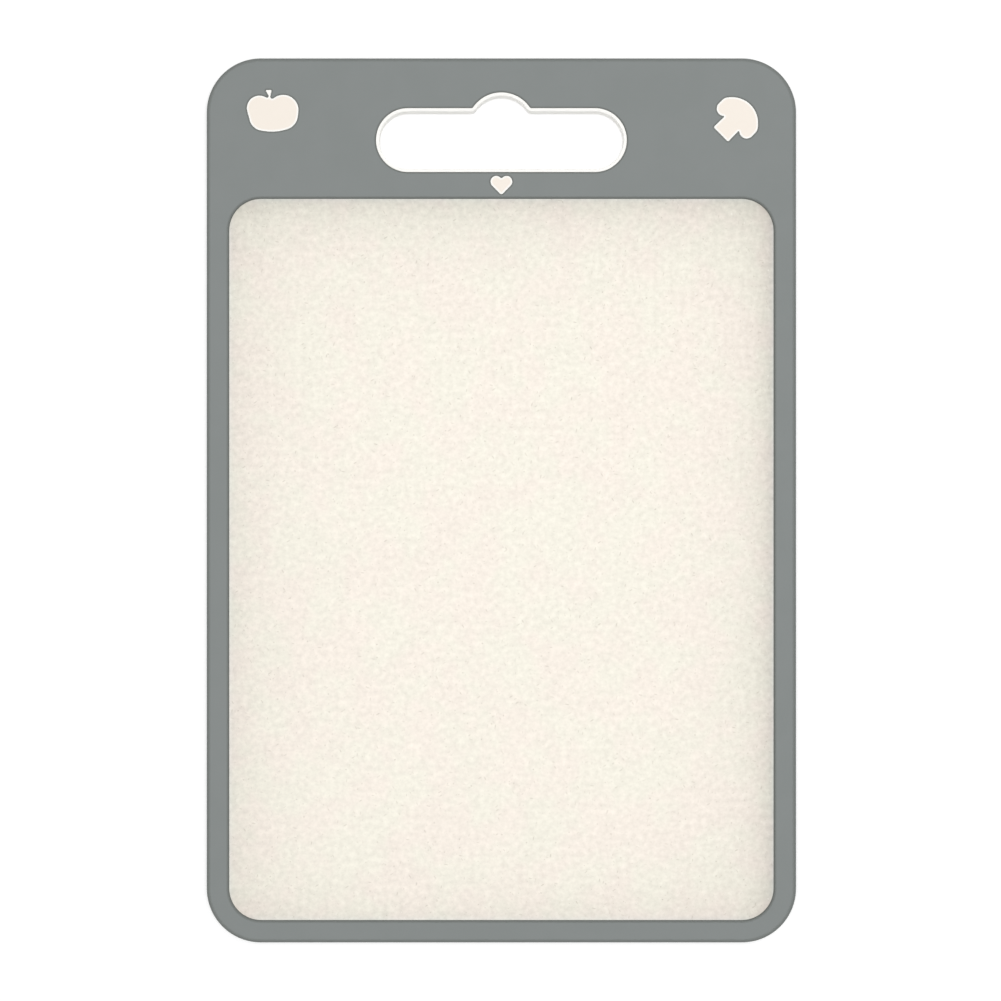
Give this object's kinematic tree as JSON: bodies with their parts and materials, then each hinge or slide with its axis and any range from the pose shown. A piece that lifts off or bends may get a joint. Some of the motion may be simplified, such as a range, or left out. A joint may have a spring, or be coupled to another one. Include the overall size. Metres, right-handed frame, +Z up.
{
  "type": "flexible cutting mat",
  "caption": "Flat double-sided kitchen cutting mat: recessed cream panel in a grey soft grip frame, with a hand slot and hanging notch at the head.",
  "frame": {"origin": "middle of the rest face, under the centre of the mat's outline", "axes": "+Y along the length towards the handle end, +X across the width, +Z up out of the face with the apple at its upper left"},
  "size_m": [0.24, 0.36, 0.005],
  "materials": {
    "cream_plastic": "fine matte grain, with faint plant-fibre flecks",
    "grey_soft_plastic": "matte, soft to the touch"
  },
  "bodies": {
    "root": {"cutting_panel": "cream_plastic", "grip_frame": "grey_soft_plastic"}
  },
  "joints": []
}
